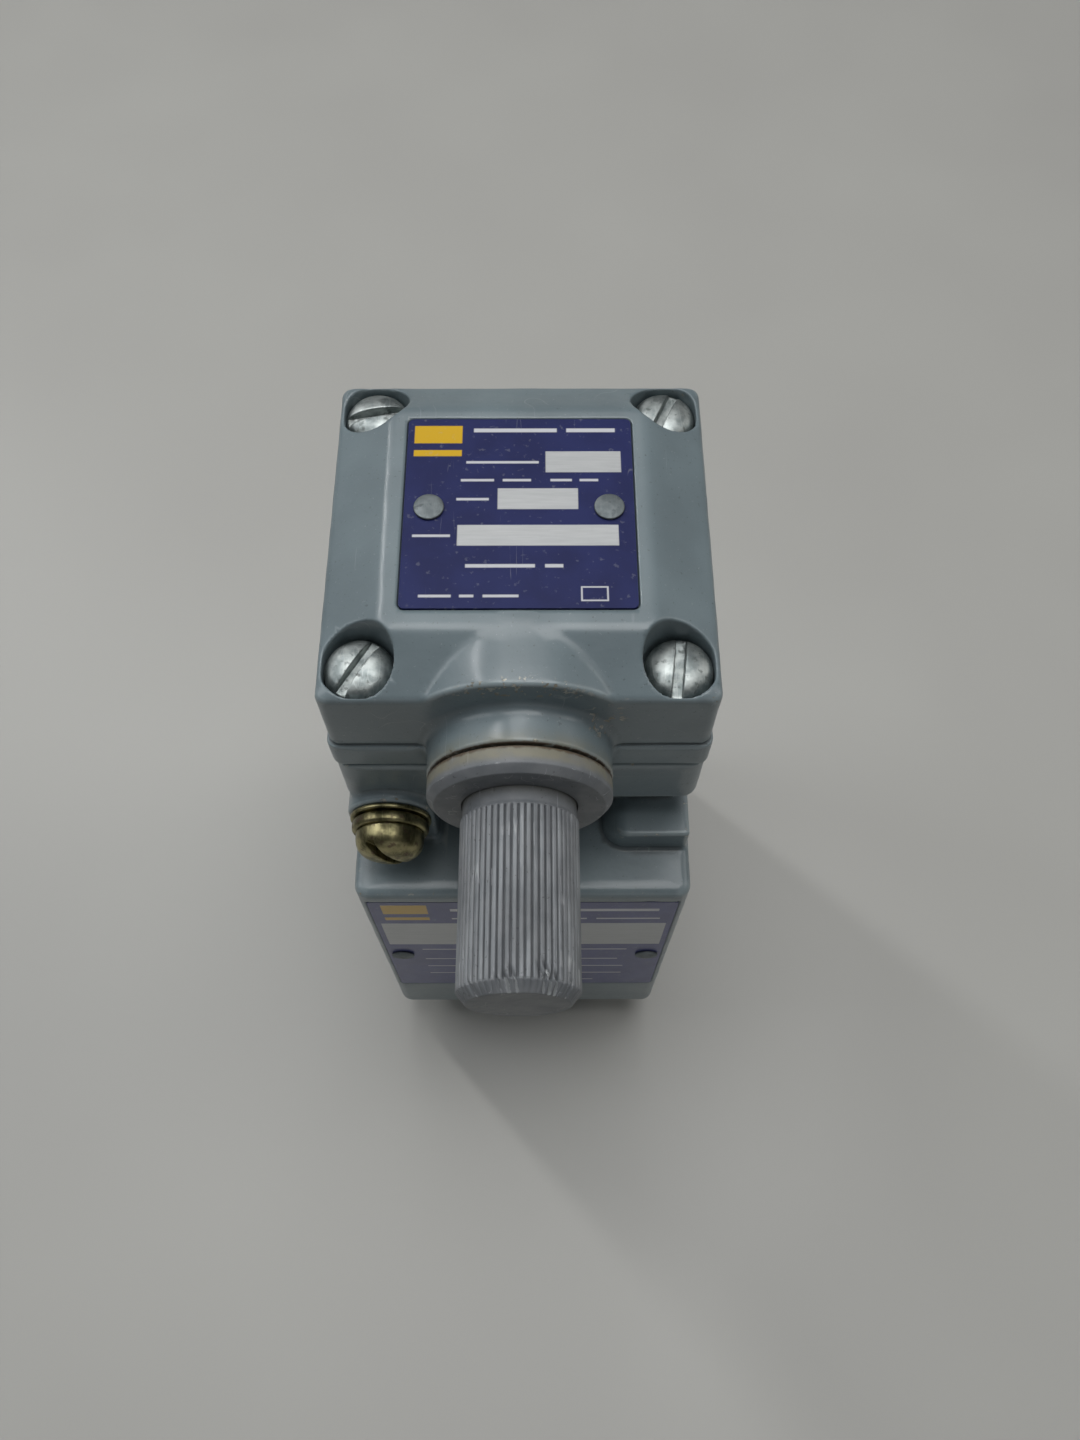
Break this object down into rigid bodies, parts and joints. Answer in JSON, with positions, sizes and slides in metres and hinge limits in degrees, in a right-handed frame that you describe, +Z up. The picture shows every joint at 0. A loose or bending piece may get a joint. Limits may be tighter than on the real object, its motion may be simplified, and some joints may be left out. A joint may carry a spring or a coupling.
{
  "type": "limit switch",
  "caption": "Heavy-duty rotary limit switch: square operating head with knurled lever shaft on a plug-in switch body and bottom-entry wiring receptacle.",
  "frame": {"origin": "centre of the bounding box at the underside, where the switch stands", "axes": "+Z up along the body, lever shaft pointing to -Y, mounting face at +Y, X across the width"},
  "size_m": [0.0404, 0.0676, 0.1021],
  "materials": {
    "housing_paint": "semi-gloss grey enamel over die-cast zinc, with chips at the edges",
    "shaft_finish": "matte grey phosphate and paint on machined steel",
    "zinc_plate": "bright zinc plate",
    "yellow_zinc": "yellow chromate zinc plate",
    "nameplate": "blue ink on etched aluminium with blank silver panels",
    "bronze": "sintered bronze",
    "rubber": "black nitrile rubber",
    "phenolic": "dark brown moulded phenolic",
    "steel": "hardened steel",
    "brass": "brass",
    "nylon": "ivory nylon",
    "green_screw": "green dyed grounding screw"
  },
  "bodies": {
    "base": {"head_housing": "housing_paint", "switch_body": "housing_paint", "receptacle": "housing_paint", "head_screw_1": "zinc_plate", "head_screw_2": "zinc_plate", "head_screw_3": "zinc_plate", "head_screw_4": "zinc_plate", "head_plate_rivet_left": "zinc_plate", "head_plate_rivet_right": "zinc_plate", "body_plate_rivet_left": "zinc_plate", "body_plate_rivet_right": "zinc_plate", "captive_screw": "yellow_zinc", "lock_washer": "yellow_zinc", "flat_washer": "yellow_zinc", "head_nameplate": "nameplate", "body_nameplate": "nameplate", "shaft_bushing": "bronze", "shaft_seal": "rubber", "head_gasket": "rubber", "body_gasket": "rubber", "contact_block": "phenolic", "terminal_block": "phenolic", "return_spring": "steel", "contact_spring": "steel", "plug_blade_1": "brass", "plug_blade_2": "brass", "plug_blade_3": "brass", "plug_blade_4": "brass", "terminal_screw_1": "brass", "terminal_screw_2": "brass", "terminal_screw_3": "brass", "terminal_screw_4": "brass", "ground_screw": "green_screw"},
    "shaft": {"operating_shaft": "shaft_finish", "shaft_collar": "shaft_finish", "operating_cam": "steel", "shaft_clip": "steel"},
    "plunger": {"head_plunger": "steel"},
    "carrier": {"contact_plunger": "nylon", "contact_bridge": "brass"}
  },
  "joints": [
    {"name": "shaft_turn", "type": "hinge", "parent": "base", "child": "shaft", "pos_m": [0, 0, 0.088], "axis": [0, -1, 0], "range_deg": [-80, 80], "stiffness_Nm_per_rad": 0.3},
    {"name": "plunger_travel", "type": "slide", "parent": "base", "child": "plunger", "axis": [0, 0, -1], "range_m": [0, 0.0022], "stiffness_N_per_m": 600, "springref_m": -0.003, "deforming": ["return_spring"]},
    {"name": "contact_travel", "type": "slide", "parent": "base", "child": "carrier", "axis": [0, 0, -1], "range_m": [0, 0.0022], "deforming": ["contact_spring"]}
  ],
  "couplings": [
    {"joint": "contact_travel", "follows": "plunger_travel", "ratio": 1}
  ]
}
